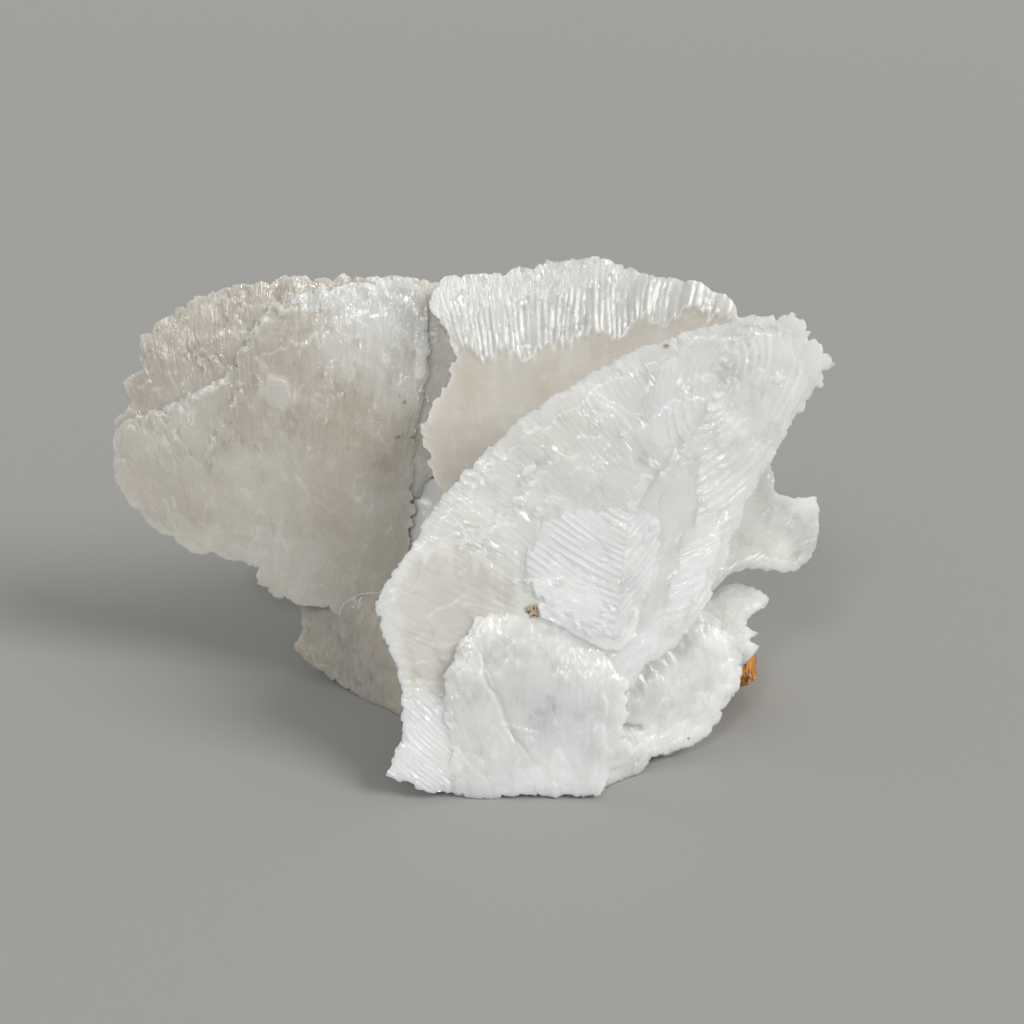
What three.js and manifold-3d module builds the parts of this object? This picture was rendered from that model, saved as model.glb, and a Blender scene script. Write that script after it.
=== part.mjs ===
// A specimen of bladed calcite: thin, slightly curved crystal blades that have grown through one another
// and are one solid, with a small lump of iron-stained matrix behind the right spur.
// Millimetres, +Z up. The cluster's front faces -Y. The origin is under the middle of the cluster, on the
// flat cut that it rests on.
import * as THREE from 'three';
import { mergeVertices } from 'three/addons/utils/BufferGeometryUtils.js';
import Module from 'manifold-3d';

const wasm = await Module();
wasm.setup();

// The middle of the cluster's footprint, in the space that the blades are placed in.
const SEAT = new THREE.Vector3(-3.23, 10.781, 0);

// A blade is a closed shell: rings of points run from its heart out to its rim, on both of its faces.
const RIM_STEP = 4.6;
const INNER_RINGS = [0.72];
const TOOTH_DEPTH = 1.2;
const TOOTH_SEED = 7;
const BEND_SPAN = 30;

const FLOOR_BLOCK = 400;
const MATRIX_GAP = 0.3;

const CALCITE = { color: 0xe4e2dc, roughness: 0.42, metalness: 0 };
const IRON_STAIN = { color: 0xb8712e, roughness: 0.8, metalness: 0 };

// heart: the middle of a blade, before SEAT is taken off. facing: degrees that its face turns from -Y towards
// +X. lean: degrees that its top tips back. thick: at the heart and at the rim. bend: how far the face comes
// forward 30 mm across from the heart, and 30 mm above or below it. tucks: where the blade curls back under
// its neighbour, as [direction in degrees, where it starts, how sharply]. outline: the turns of its rim,
// [across, up] from the heart.
const BLADES = {
  frontFan: {
    heart: [24, -19.5, 43], facing: -4, lean: 16, thick: [8, 2], bend: [1.5, 1.5],
    tucks: [[-60, 22, 0.05]],
    outline: [
      [-39.5, -11], [-33.5, -2], [-30, 4.5], [-24, 12], [-16, 20], [-7, 26.5], [5, 33.5], [15, 37],
      [24, 39.2], [31, 39.7], [34.5, 37], [38.3, 32], [31.5, 19.5], [26, 8], [20, -8], [17.5, -13],
      [14.5, -17], [9, -22], [3, -31], [-8, -45], [-28, -45], [-34, -43], [-36.5, -41.5], [-34.5, -36],
      [-34.5, -30], [-35.5, -24], [-37.5, -18],
    ],
  },
  frontWedge: {
    heart: [22, -23.5, 39], facing: -4, lean: 16, thick: [6, 2], bend: [0, 0],
    outline: [
      [-11, 3.5], [-9, 7], [-5.5, 9.5], [0, 10.5], [7, 10], [9, 2], [8, -9], [5, -14], [-2, -10.5],
      [-8.5, -7],
    ],
  },
  frontPlate: {
    heart: [13, -30.1, 14], facing: -2, lean: 13, thick: [6, 1.8], bend: [2, 1],
    tucks: [[80, -6, 0.0064], [30, 12, 0.1]],
    outline: [
      [-13.5, -13.9], [-15.3, -10], [-15.2, -5], [-16.4, 0], [-16.4, 7], [-14, 12.5], [-11, 17], [-5, 19],
      [3, 19.5], [11, 17], [17, 11], [16.5, 4], [15.2, -1], [16.8, -6.5], [13, -10.2], [11, -13.6],
      [5, -14.4], [-3, -14.2], [-8, -14.4],
    ],
  },
  rightBowl: {
    heart: [37, -18.3, 13], facing: 22, lean: 8, thick: [7, 2], bend: [8, 8],
    tucks: [[115, 2, 0.06]],
    outline: [
      [14, 1], [11, -4.5], [6, -10], [-5, -12], [-9, -15], [-16, -16], [-19, -5], [-15, 4], [-12, 12],
      [-4, 17], [5, 16], [13, 9],
    ],
  },
  rightSpur: {
    heart: [47, -7, 16], facing: 18, lean: 10, thick: [6, 1.8], bend: [0, 0],
    outline: [
      [0, 10.5], [3.8, 12.8], [10, 10.4], [11, 7.5], [7, 4.5], [8.8, 0.8], [7.2, -2.7], [4.7, -7],
      [3.4, -9.6], [-3, -13.5], [-14, -10], [-16, 0], [-11, 8],
    ],
  },
  rightPlate: {
    heart: [50, -10, 36], facing: 30, lean: 8, thick: [5, 1.6], bend: [3, 2],
    outline: [
      [13, 9.5], [17.5, 8.5], [18, 4], [17, -1.5], [12.5, -5], [7, -3.5], [-1, -2], [-7, -5], [-16, -9],
      [-22, 0], [-15, 14], [-3, 21], [7, 17], [9, 11],
    ],
  },
  leftFrontSheet: {
    heart: [-38, 18, 50], facing: -8, lean: 12, thick: [5, 1.8], bend: [-1, -2],
    outline: [
      [-35, -4], [-33.5, 2], [-20.5, 7.5], [-11, 13.5], [-8, 18.5], [-4, 25], [2, 28.5], [13, 31.5],
      [27, 32], [30, 16], [27.5, 1], [27, -20], [21, -34], [8, -34], [-3.5, -30], [-6, -26], [-20, -22.5],
      [-29, -16.5], [-34, -10],
    ],
  },
  leftBackSheet: {
    heart: [-38, 18.5, 50.5], facing: -8, lean: 12, thick: [5, 1.8], bend: [-1, -2],
    outline: [
      [-34, -2], [-35, 2], [-31.5, 6], [-33.5, 9], [-29.5, 13], [-29, 19], [-24, 23], [-19, 27],
      [-9.5, 30], [7.5, 32], [22, 32], [33, 30], [36, 20], [34, 4], [28, -12], [10, -24], [-8, -18],
      [-25, -13],
    ],
  },
  underSheet: {
    heart: [-24, 10.7, 14], facing: -38, lean: 12, thick: [6, 2], bend: [2, 0],
    tucks: [[75, 2, 0.06], [35, 5, 0.06]],
    outline: [
      [-15.5, 3], [-10, 7], [-2, 10], [6, 11], [15, 9], [22, 2], [22, -13], [14, -16], [5, -15.5],
      [0, -13.8], [-6.9, -12.2], [-13.4, -9.7], [-12.4, -4],
    ],
  },
  backDish: {
    heart: [20, 12, 60], facing: 4, lean: 24, thick: [8, 2.2], bend: [3, -1],
    outline: [
      [-25.5, 23], [-13, 25.5], [5.5, 28], [14, 25], [25, 22.5], [31.5, 18.5], [33, 6], [30, -8],
      [24, -21], [12, -30], [-4, -34], [-20, -28], [-27, -15], [-28.5, -4], [-24, 4], [-23, 10],
      [-26.5, 17],
    ],
  },
  behindDish: {
    heart: [34, 17, 56], facing: 4, lean: 22, thick: [6, 1.8], bend: [1, -1],
    outline: [
      [-20, 14], [-6, 20], [10, 21], [20, 18], [25, 15], [24, 4], [18, -14], [4, -26], [-14, -22], [-22, -4],
    ],
  },
  // The back of the cluster.
  rearFan: {
    heart: [14, 26, 36], facing: 4, lean: 36, thick: [10, 2], bend: [-2, -3],
    outline: [
      [-35, 2], [-33, 13], [-26, 18], [-21, 29], [-9, 33], [-2, 41], [12, 41], [19, 34], [29, 31],
      [36, 17], [33, 2], [28, -14], [14, -34], [-6, -44], [-22, -30], [-30, -12],
    ],
  },
  rearLeft: {
    heart: [-10, 26, 26], facing: -62, lean: 8, thick: [8, 2], bend: [3, 1],
    outline: [
      [-28, -4], [-25, 8], [-17, 12], [-13, 22], [-2, 26], [6, 31], [20, 24], [26, 6], [24, -20],
      [10, -30], [-10, -30], [-19, -22], [-20, -12],
    ],
  },
  rearRight: {
    heart: [38, 24, 24], facing: 58, lean: 6, thick: [8, 2], bend: [-3, 1],
    outline: [
      [-27, 0], [-22, 22], [-10, 30], [-2, 25], [8, 28], [16, 19], [24, 15], [26, 2], [20, -6],
      [22, -16], [13, -28], [-4, -29], [-20, -26],
    ],
  },
  rearFoot: {
    heart: [10, 36, 18], facing: -8, lean: -18, thick: [9, 2], bend: [-3, 0],
    outline: [
      [-25, 0], [-22, 10], [-12, 13], [-7, 22], [5, 21], [11, 14], [21, 12], [26, 1], [20, -9],
      [17, -22], [-6, -22], [-18, -15],
    ],
  },
  rearWing: {
    heart: [-8, 40, 24], facing: 38, lean: -14, thick: [6, 1.8], bend: [2, 1],
    outline: [
      [-21, -2], [-18, 8], [-10, 10], [-6, 18], [6, 19], [12, 10], [19, 6], [18, -8], [11, -19],
      [-2, -24], [-9, -16], [-17, -12],
    ],
  },
  valleyBlade: {
    heart: [40, 6, 44], facing: 66, lean: -4, thick: [6, 1.8], bend: [-2, 2],
    outline: [
      [-19, 0], [-15, 10], [-7, 12], [-1, 18], [9, 15], [13, 7], [20, 2], [17, -10], [9, -22],
      [-10, -22], [-18, -12],
    ],
  },
  // The heart of the cluster, where the blades meet.
  core: {
    heart: [13, -11, 17], facing: 0, lean: 12, thick: [36, 10], bend: [0, 0],
    outline: [
      [-24, 0], [-18, 14], [-4, 24], [12, 25], [24, 16], [28, 0], [24, -20], [-20, -20],
    ],
  },
  leftCore: {
    heart: [-9, 14, 24], facing: -14, lean: 5, thick: [14, 4], bend: [0, 0],
    outline: [
      [-13, 2], [-8, 13], [4, 20], [15, 12], [17, -8], [8, -18], [-6, -14],
    ],
  },
};

// The lump of matrix: a rough ball with its middle, its half-sizes, the degrees that its back end tips up
// (below zero: down), how square it is, and how far, how often and from where its surface wanders along
// each axis.
const MATRIX = {
  middle: [51.4, 4.6, 7],
  halfSizes: [6, 12.5, 4.6],
  tilt: -26,
  squareness: 0.6,
  wander: 0.18,
  waves: [5, 4, 6],
  waveStarts: [2, 1, 0],
  detail: 3,
};

// The rim's corners, clockwise from in front, with a seeded tooth at each.
function rimCorners(blade) {
  const turns = blade.outline.map(([across, up]) => new THREE.Vector3(across, up, 0));
  const curve = new THREE.CatmullRomCurve3(turns, true, 'centripetal');
  const rim = curve.getSpacedPoints(Math.round(curve.getLength() / RIM_STEP));
  rim.pop();
  THREE.MathUtils.seededRandom(TOOTH_SEED);
  return rim.map((corner) => {
    const tooth = TOOTH_DEPTH * (THREE.MathUtils.seededRandom() - 0.5);
    return corner.setLength(corner.length() + tooth);
  });
}

// How far forward the middle of a blade's thickness lies at a point.
function forwardAt(blade, across, up) {
  const [bendAcross, bendUp] = blade.bend;
  let forward = bendAcross * (across / BEND_SPAN) ** 2 + bendUp * (up / BEND_SPAN) ** 2;
  for (const [degrees, start, amount] of blade.tucks ?? []) {
    const direction = THREE.MathUtils.degToRad(degrees);
    const along = across * Math.cos(direction) + up * Math.sin(direction);
    forward -= amount * Math.max(0, along - start) ** 2;
  }
  return forward;
}

// One face's points, from the heart out, with side +1 for the front and -1 for the back.
function facePoints(blade, rim, side) {
  const [thickHeart, thickRim] = blade.thick;
  const points = [];
  for (const reach of [0, ...INNER_RINGS, 1]) {
    const half = (thickRim + (thickHeart - thickRim) * (1 - reach * reach)) / 2;
    const ring = reach === 0 ? [rim[0]] : rim;
    for (const corner of ring) {
      const across = corner.x * reach;
      const up = corner.y * reach;
      points.push(across, up, forwardAt(blade, across, up) + side * half);
    }
  }
  return points;
}

// The closed skin of a blade: a fan of triangles round each heart, bands of them out to the rim, and the
// rim's own narrow side.
function bladeGeometry(blade) {
  const rim = rimCorners(blade);
  const count = rim.length;
  const front = facePoints(blade, rim, 1);
  const back = facePoints(blade, rim, -1);
  const backStart = front.length / 3;
  const lastRing = INNER_RINGS.length;
  const index = [];
  for (let i = 0; i < count; i += 1) {
    const next = (i + 1) % count;
    index.push(0, 1 + next, 1 + i);
    index.push(backStart, backStart + 1 + i, backStart + 1 + next);
    for (let ring = 0; ring < lastRing; ring += 1) {
      const a = 1 + ring * count + i;
      const b = 1 + ring * count + next;
      const c = b + count;
      const d = a + count;
      index.push(a, b, c, a, c, d);
      index.push(backStart + a, backStart + c, backStart + b);
      index.push(backStart + a, backStart + d, backStart + c);
    }
    const edge = 1 + lastRing * count + i;
    const edgeNext = 1 + lastRing * count + next;
    index.push(edge, edgeNext, backStart + edgeNext);
    index.push(edge, backStart + edgeNext, backStart + edge);
  }
  const geometry = new THREE.BufferGeometry();
  geometry.setAttribute('position', new THREE.Float32BufferAttribute([...front, ...back], 3));
  geometry.setIndex(index);
  return geometry;
}

// Turns a blade's own across, up and forward into the cluster's X, Y and Z.
function bladePlace(blade) {
  const facing = THREE.MathUtils.degToRad(blade.facing);
  const lean = THREE.MathUtils.degToRad(blade.lean);
  const forward = new THREE.Vector3(
    Math.sin(facing) * Math.cos(lean),
    -Math.cos(facing) * Math.cos(lean),
    Math.sin(lean),
  );
  const across = new THREE.Vector3(Math.cos(facing), Math.sin(facing), 0);
  const up = new THREE.Vector3().crossVectors(forward, across);
  const place = new THREE.Matrix4().makeBasis(across, up, forward);
  return place.setPosition(new THREE.Vector3(...blade.heart).sub(SEAT));
}

function toSolid(geometry) {
  const merged = geometry.clone();
  merged.deleteAttribute('normal');
  merged.deleteAttribute('uv');
  const welded = mergeVertices(merged);
  return new wasm.Manifold(new wasm.Mesh({
    numProp: 3,
    vertProperties: new Float32Array(welded.attributes.position.array),
    triVerts: new Uint32Array(welded.index.array),
  }));
}

function toGeometry(solid) {
  const mesh = solid.getMesh();
  const geometry = new THREE.BufferGeometry();
  geometry.setAttribute('position', new THREE.BufferAttribute(mesh.vertProperties, 3));
  geometry.setIndex(new THREE.BufferAttribute(mesh.triVerts, 1));
  return geometry;
}

// Everything under the flat cut.
function belowFloor() {
  const block = new THREE.BoxGeometry(FLOOR_BLOCK, FLOOR_BLOCK, FLOOR_BLOCK);
  return toSolid(block.translate(0, 0, -FLOOR_BLOCK / 2));
}

function bladeSolid(blade) {
  return toSolid(bladeGeometry(blade).applyMatrix4(bladePlace(blade)));
}

function clusterSolid() {
  const grown = Object.values(BLADES).map(bladeSolid).reduce((whole, blade) => whole.add(blade));
  return grown.subtract(belowFloor());
}

// The lump stands on the cut and leans on the back of the right spur, a hair clear of the crystals.
function matrixSolid(cluster) {
  const lump = new THREE.IcosahedronGeometry(1, MATRIX.detail);
  const place = lump.attributes.position;
  const point = new THREE.Vector3();
  for (let i = 0; i < place.count; i += 1) {
    const parts = point.fromBufferAttribute(place, i).toArray();
    const waves = parts.map((c, axis) => Math.sin(MATRIX.waves[axis] * c + MATRIX.waveStarts[axis]));
    const swell = 1 + MATRIX.wander * waves[0] * waves[1] * waves[2];
    place.setXYZ(i, ...parts.map((c) => swell * Math.sign(c) * Math.abs(c) ** MATRIX.squareness));
  }
  lump.scale(...MATRIX.halfSizes);
  lump.rotateX(THREE.MathUtils.degToRad(MATRIX.tilt));
  lump.translate(...new THREE.Vector3(...MATRIX.middle).sub(SEAT).toArray());
  let solid = toSolid(lump).subtract(belowFloor());
  for (const side of [-1, 1]) {
    for (const axis of [0, 1, 2]) {
      const shift = [0, 0, 0];
      shift[axis] = side * MATRIX_GAP;
      solid = solid.subtract(cluster.translate(shift));
    }
  }
  return solid;
}

function namedMesh(name, solid, finish) {
  const mesh = new THREE.Mesh(toGeometry(solid), new THREE.MeshStandardMaterial(finish));
  mesh.name = name;
  return mesh;
}

const cluster = clusterSolid();
const specimen = new THREE.Group();
specimen.add(namedMesh('calcite_cluster', cluster, CALCITE));
specimen.add(namedMesh('iron_stained_grain', matrixSolid(cluster), IRON_STAIN));

export default specimen;
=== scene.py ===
import math

import bmesh
import bpy
import numpy as np
from mathutils import Euler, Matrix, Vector
from mathutils.geometry import delaunay_2d_cdt
from mathutils.noise import fractal, voronoi


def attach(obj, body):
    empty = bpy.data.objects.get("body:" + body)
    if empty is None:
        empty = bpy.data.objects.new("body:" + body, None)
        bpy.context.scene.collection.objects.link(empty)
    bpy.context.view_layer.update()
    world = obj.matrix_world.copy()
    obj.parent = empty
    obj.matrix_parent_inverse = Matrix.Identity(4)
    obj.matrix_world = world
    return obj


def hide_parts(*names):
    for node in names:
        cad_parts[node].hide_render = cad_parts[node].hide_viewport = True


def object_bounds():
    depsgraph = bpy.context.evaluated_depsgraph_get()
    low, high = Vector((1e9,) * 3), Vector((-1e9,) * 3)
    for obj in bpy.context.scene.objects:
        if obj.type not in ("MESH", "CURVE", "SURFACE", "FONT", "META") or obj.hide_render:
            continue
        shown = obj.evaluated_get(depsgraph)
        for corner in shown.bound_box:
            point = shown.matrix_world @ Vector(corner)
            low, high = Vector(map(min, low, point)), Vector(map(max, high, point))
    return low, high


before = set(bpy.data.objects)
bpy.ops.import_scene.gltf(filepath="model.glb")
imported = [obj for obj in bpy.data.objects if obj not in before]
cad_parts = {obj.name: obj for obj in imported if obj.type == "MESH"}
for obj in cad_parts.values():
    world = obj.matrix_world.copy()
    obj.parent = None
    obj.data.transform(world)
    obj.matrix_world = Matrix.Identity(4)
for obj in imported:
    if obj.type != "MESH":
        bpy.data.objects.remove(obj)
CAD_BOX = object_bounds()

# Sizes are in millimetres and angles in degrees, unless a comment says otherwise.
MM = 0.001
# The middle of the cluster's footprint, in the space that the blades are placed in.
SEAT = np.array([-3.23, 10.781, 0.0])

# A blade's bend is how far its face comes forward this far out from its heart.
BEND_SPAN = 30.0
# The rim is this thick. The plainer face tapers to it over TAPER_WIDTH, and over TOOTH_SIDE at each tooth.
EDGE_THICK = 0.3
TAPER_WIDTH = 4.0
TOOTH_SIDE = 1.0
# How much of the blade's thickening towards its heart shows on its finer face.
CROWN = 0.35
# The spacing of points on a rim and on a patch's outline, and of the curve that they are measured along.
RIM_STEP = 0.26
PATCH_STEP = 0.5
CURVE_STEPS = 60
# A rim's lobes (width, depth) and teeth (width, depth), unless the blade says, and the smallest teeth.
USUAL_RIM = (6.0, 0.9, 2.2, 0.5)
SMALL_TEETH = (0.9, 0.24)
# How much of the cutting is given back, so that the blade keeps its size, and how a crossed rim is softened.
RIM_BALANCE = 0.45
SOFTER = 0.9
# Points closer than this are one point. Distances are measured for this many points at a time.
SAME_POINT = 1e-7
BATCH = 4000
# How far the points inside a face are shaken off their grid, as a share of its spacing.
SHAKE = 0.12
# The whiter rim of a blade, unless the blade says: a painted highlight, where the thin edges catch the light.
PALE_RIM = 0.8
# Edges steeper than this are drawn sharp.
SHARP_ANGLE = 38
# Where each blade's random draws start.
RIM_SEED = 100
FACE_SEED = 1000
PLAIN_FACE_SEED = 500
PATCH_SEED = 900
# The block that is cut away under the floor, and the margin inside the CAD model's box, in metres.
CUT_SIZE = 0.4
BOX_MARGIN = 0.00002
# On the faces that are turned away: the striae's least depth and width, the steps' height, and how much of
# the pale rim, a painted highlight, is left.
BACK_RIDGE = (0.24, 1.6)
BACK_STEP = 0.32
BACK_PALE = 0.3


def shape(outline, **rest):
    """A blade or a patch of one. Its outline is written as "across,up across,up"."""
    points = [tuple(float(number) for number in point.split(",")) for point in outline.split()]
    return dict(rest, outline=points)


# Each blade's shape is the CAD model's: heart, facing and lean in the specimen's own space (before SEAT is
# taken off), thick at the heart and the rim, bend over 30 mm, and the turns of its outline. The rest is its
# skin. mesh: the spacing of points on its front and back. grain: how its striae run. ridge: their depth and
# width. fade: where they die out (direction, start, end). steps: growth steps (in from the rim, height,
# wander). scales: small overlapping plates (number, size, height). rim: as in USUAL_RIM. torn: where the rim
# is more ragged (across, up, reach, how much more). taper: in place of TAPER_WIDTH. tuck: where the blade
# curls back (direction, start, amount). swell: broad unevenness (height, size). tone: warmth, partly the
# crystal's own and partly painted shade on the blades that lie in shade. pale_rim: how white its rim is, a
# painted highlight where the edges catch the light. ice: how much of it is clear and darker. dirt: spots
# (across, up, radius). best: -1 where the back is the finer face. extra: the function in EXTRAS that adds
# what only this blade has.
# patches: areas of the front with a skin of their own. edge and torn: how soft and how ragged the outline
# is. lift: its slope (direction, low, high). frost, warm and gloss are added; the frost is partly painted
# highlight and the warmth partly painted shade. mesh, grain and ridge replace the blade's.
BLADES = {}
BLADES["frontFan"] = shape(
    "-39,-11 -33.5,-2 -30,4.5 -24,12 -16,20 -7,26.5 5,33.5 15,37 24,39.5 31,40 34.5,37 38.5,32 31.5,19.5 "
    "26,8 20,-8 17.5,-13 14.5,-17 9,-22 3,-31 -8,-45 -28,-45 -34,-43 -36.5,-41.5 -34.5,-36 -34.5,-30 "
    "-35.5,-24 -37.5,-18",
    heart=(24, -19.5, 43), facing=-4, lean=16, thick=(8, 2), bend=(1.5, 1.5), mesh=(0.32, 0.9),
    grain=("fold", (5.6, 4.8), 60, ("fan", (54, -43)), ("rings", (20, 30.5), 67, 3.2)), ridge=(0.08, 1.05),
    steps=[(2.4, -0.1, 1.6), (9.0, -0.14, 3.0), (17, 0.12, 4.0)], scales=(110, 3.6, 0.13),
    rim=(5.0, 0.5, 1.8, 0.6), torn=[(35, 35, 7, 2.2)], swell=(0.5, 12),
    dirt=[(-11.4, -12.4, 1.2), (10.5, 34.3, 0.4)], ice=0.2, tone=0.26, extra="fan", tuck=[(-60, 22, 0.05)],
    patches=[
        shape("-29,2 -15,18 -1,27.5 14,35 13,31 3,22 -10,13 -24,-3", ridge=(0.12, 0.9), edge=2.5, torn=1.4,
            frost=0.1),
        # Whiter and cooler over the rings by the top right corner: painted light, brightening the bevel that
        # turns from the light.
        shape("8,18 8,26 13,33 22,37 31,38 35,33 30,19 24,5 17,-10 12,-16 13,-4 17,8 14,16",
            grain=("rings", (20, 29), 67, 1.9), ridge=(0.2, 1.1), edge=3.0, torn=1.2, frost=0.25, warm=-0.1,
            mesh=0.24),
        shape("-36,-8 -30,-3 -22,-4 -15,-8 -14,-16 -20,-28 -33,-27", edge=3, torn=1.5, warm=0.38, gloss=-0.8),
        shape("-39,-43 -34,-29 -31,-27 -24,-30 -20,-38 -20,-47 -36,-47", grain=("straight", 140),
            ridge=(0.16, 0.9), edge=2.4, lift=(140, -0.1, 0.1), frost=0.15, warm=-0.2, mesh=0.24),
        shape("-12.7,-1.7 -10.5,1.9 -7.1,4.6 -1.8,5.8 4,6.5 9,5 11,0 10,-6 7,-12 3.5,-17 -4,-14 -10.2,-10.8 "
            "-12,-7", grain=("fold", (4.2, -3.2), 84, ("straight", 152), ("straight", 50)),
            ridge=(0.34, 1.15), lift=(-85, 0.0, 0.75), edge=1.0, torn=0.8, warm=-0.2, frost=0.3, mesh=0.2),
        shape("-11,-6 -5,-5 1,-9 2,-15 -4,-14 -10,-11", edge=1.6, torn=0.8, frost=0.3, ridge=(0.03, 1.2)),
        shape("-10.4,-10.8 -4,-14.2 2.5,-17 5.2,-14.5 7,-11.5 7.2,-13.5 4.5,-18.4 2,-19 -4.5,-15.9 "
            "-10.6,-12.4", edge=0.16, torn=0.3, frost=0.9, gloss=0.6, lift=(0, 0.55, 0.35)),
        # A small bright chip, whitened as a painted glint.
        shape("28.4,29.2 29.1,29.4 29.4,30.1 30.0,29.4 31.1,29.5 30.3,28.6 29.5,28.2 29.2,28.7", edge=0.16,
            torn=0.3, frost=1.0, lift=(40, 0.0, 0.4)),
        # A small chip, whitened as a painted highlight.
        shape("-14,11.5 -12.9,13.2 -11.4,13.0 -11.9,12.1 -12.7,11.9 -13,11.1", edge=0.16, torn=0.3, frost=0.8,
            lift=(140, 0.0, 0.5)),
        shape("-20,-16 -8,-14 4,-20 8,-24 2,-34 -12,-40 -20,-30", edge=5, torn=1.5, warm=-0.22),
        shape("7,-22 12,-16 17,-8 21,2 18,3 13,-6 8,-14 4,-20", edge=1.4, torn=1.5, frost=0.35, warm=-0.2)])
BLADES["frontPlate"] = shape(
    "-13.5,-13.9 -15.3,-10 -15.2,-5 -16.4,0 -16.4,7 -14,12.5 -11,17 -5,19 3,19.5 11,17 17,11 16.5,4 15.2,-1 "
    "16.8,-6.5 13,-10.2 11,-13.6 5,-14.4 -3,-14.2 -8,-14.4",
    heart=(13, -30.1, 14), facing=-2, lean=13, thick=(6, 1.8), bend=(2, 1), mesh=(0.32, 0.9),
    grain=("fold", (-6.6, 2.8), 112, ("fan", (4, -44)), ("fan", (0, -60))), ridge=(0.08, 1.1),
    fade=(-90, 2, 12), steps=[(2.2, -0.12, 1.4), (6, -0.1, 2.0)], torn=[(16, 0, 8, 0.8)], pale_rim=0.5,
    scales=(60, 4.0, 0.2), tuck=[(80, -6, 0.0064), (30, 14, 0.09)], taper=0.8, rim=(5.0, 0.8, 1.8, 0.7),
    swell=(0.5, 7), tone=0.12, ice=0.7, extra="plate",
    patches=[
        shape("-14,10 -11.5,15 -9,18 -8,14 -10,9 -12,4", edge=0.5, frost=0.3, lift=(60, 0.0, 0.35)),
        shape("-18,4 -8,5 2,7 10,7 18,3 18,26 -14,26", edge=5, torn=2.0, warm=0.2),
        shape("-2,-16 0,-9 6,-6 12,-8 9,-15 4,-17", edge=2, torn=1.4, frost=0.4)])
BLADES["rightBowl"] = shape(
    "14,1 11,-4.5 6,-10 -5,-12 -9,-15 -16,-16 -19,-5 -15,4 -12,12 -4,17 5,16 13,9",
    heart=(37, -18.3, 13), facing=22, lean=8, thick=(7, 2), bend=(8, 8), mesh=(0.32, 0.9),
    grain=("fan", (-4, -40)), ridge=(0.1, 1.1), steps=[(2, 0.2, 1.2), (5, 0.15, 1.6)], scales=(50, 3.0, 0.26),
    tuck=[(115, 2, 0.06)], rim=(5.0, 0.9, 1.8, 0.6), swell=(0.6, 5.5), tone=0.14, ice=0.9, pale_rim=0.6,
    dirt=[(2.8, -9.0, 0.3)],
    patches=[
        shape("2,11 8,11 12,6 12,0 9,-5 7,-4 9,2 7,7", edge=1.2, torn=1.2, frost=0.5, lift=(0, 0.1, 0.4)),
        shape("-11.4,-3.4 -8.8,-4.1 -5.7,-5.4 -5.9,-6.1 -9.2,-5.4 -11.6,-4.4", edge=0.3, torn=0.3,
            lift=(0, -1.4, -0.7)),
        shape("-16,-8 -8,-9 2,-9.5 4,-6 -4,-6 -12,-4", edge=1.4, torn=1.0, frost=0.3, lift=(-90, -0.3, 0.2))])
BLADES["rightSpur"] = shape(
    "0,10.5 3.8,12.8 10,10.4 11.3,9 11,7.5 7.5,5.8 6.8,4 9.2,2.2 7.4,1.1 9,-0.4 7.2,-2.7 5.2,-5.5 4.7,-7 "
    "3.4,-9.6 -3,-13.5 -14,-10 -16,0 -11,8",
    heart=(47, -7, 16), facing=18, lean=10, thick=(6, 1.8), bend=(0, 0), mesh=(0.34, 0.7),
    grain=("straight", 70), ridge=(0.08, 1.2), steps=[(2, 0.15, 1.2)], scales=(20, 3, 0.16),
    rim=(3.0, 0.25, 1.3, 0.25), swell=(0.5, 5), tone=0.15, taper=1.2, ice=0.2)
BLADES["rightPlate"] = shape(
    "13,9.5 17.5,8.5 18,4 17,-1.5 12.5,-5 7,-3.5 -1,-2 -7,-5 -16,-9 -22,0 -15,14 -3,21 7,17 9,11",
    heart=(50, -10, 36), facing=30, lean=8, thick=(5, 1.6), bend=(3, 2), mesh=(0.36, 0.6),
    grain=("fan", (-30, -14)), ridge=(0.04, 1.4), steps=[(2.4, 0.12, 1.4)], scales=(20, 3.5, 0.1),
    rim=(5.0, 0.5, 1.6, 0.5), swell=(0.35, 8), tone=0.35, pale_rim=0.4, ice=1.1,
    patches=[
        shape("-6,-2 -2,3 3,2 5,-2 1,-4 -4,-5", edge=1.0, torn=1.0, frost=0.3, ridge=(0.15, 1.0))])
# The left sheets' warm grey is mostly painted shade, for the shade that the fan and the dish cast on them.
BLADES["leftFrontSheet"] = shape(
    "-35,-4 -33.5,2 -20.5,7.5 -11,13.5 -8,18.5 -4,25 2,28.5 13,31.5 27,32 30,16 27.5,1 27,-20 21,-34 8,-34 "
    "-3.5,-30 -6,-26 -20,-22.5 -29,-16.5 -34,-10",
    heart=(-38, 17.3, 50), facing=-8, lean=12, thick=(3.6, 1.8), bend=(-1, -2), mesh=(0.36, 0.75),
    grain=("fan", (6, -110)), ridge=(0.05, 1.1), fade=(-95, -4, 12), taper=1.2, pale_rim=0.3,
    steps=[(2.0, -0.1, 2.4), (8, -0.08, 4)], scales=(60, 4, 0.08), rim=(6.0, 1.1, 1.8, 0.5), swell=(0.45, 14),
    dirt=[(-8.7, 14.6, 0.35), (24.4, 10.0, 0.3), (25.5, 8.7, 0.35), (24.2, 1.9, 0.35), (27.0, -7.3, 0.3)],
    tone=0.86, extra="sheet",
    patches=[
        shape("2,29 9,32 28,33 28,27 26.5,21 20.3,20.6 14,23.5 10,27 5,27.5", edge=0.9, torn=2.2, frost=-0.55,
            warm=-0.45, gloss=0.4, lift=(90, 0.1, 0.2)),
        shape("9,26 28,21 28,8 18,11 8,17", edge=3, torn=1.5, ridge=(0.13, 1.0), frost=0.12, warm=-0.2),
        shape("27.6,25 29,25 29,14 28,14", edge=0.4, torn=0.5, frost=0.8),
        shape("-3,9 -1,13 2,12 4,8 0,8", edge=0.8, torn=1.4, frost=0.35, lift=(60, 0.0, 0.3))])
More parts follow.
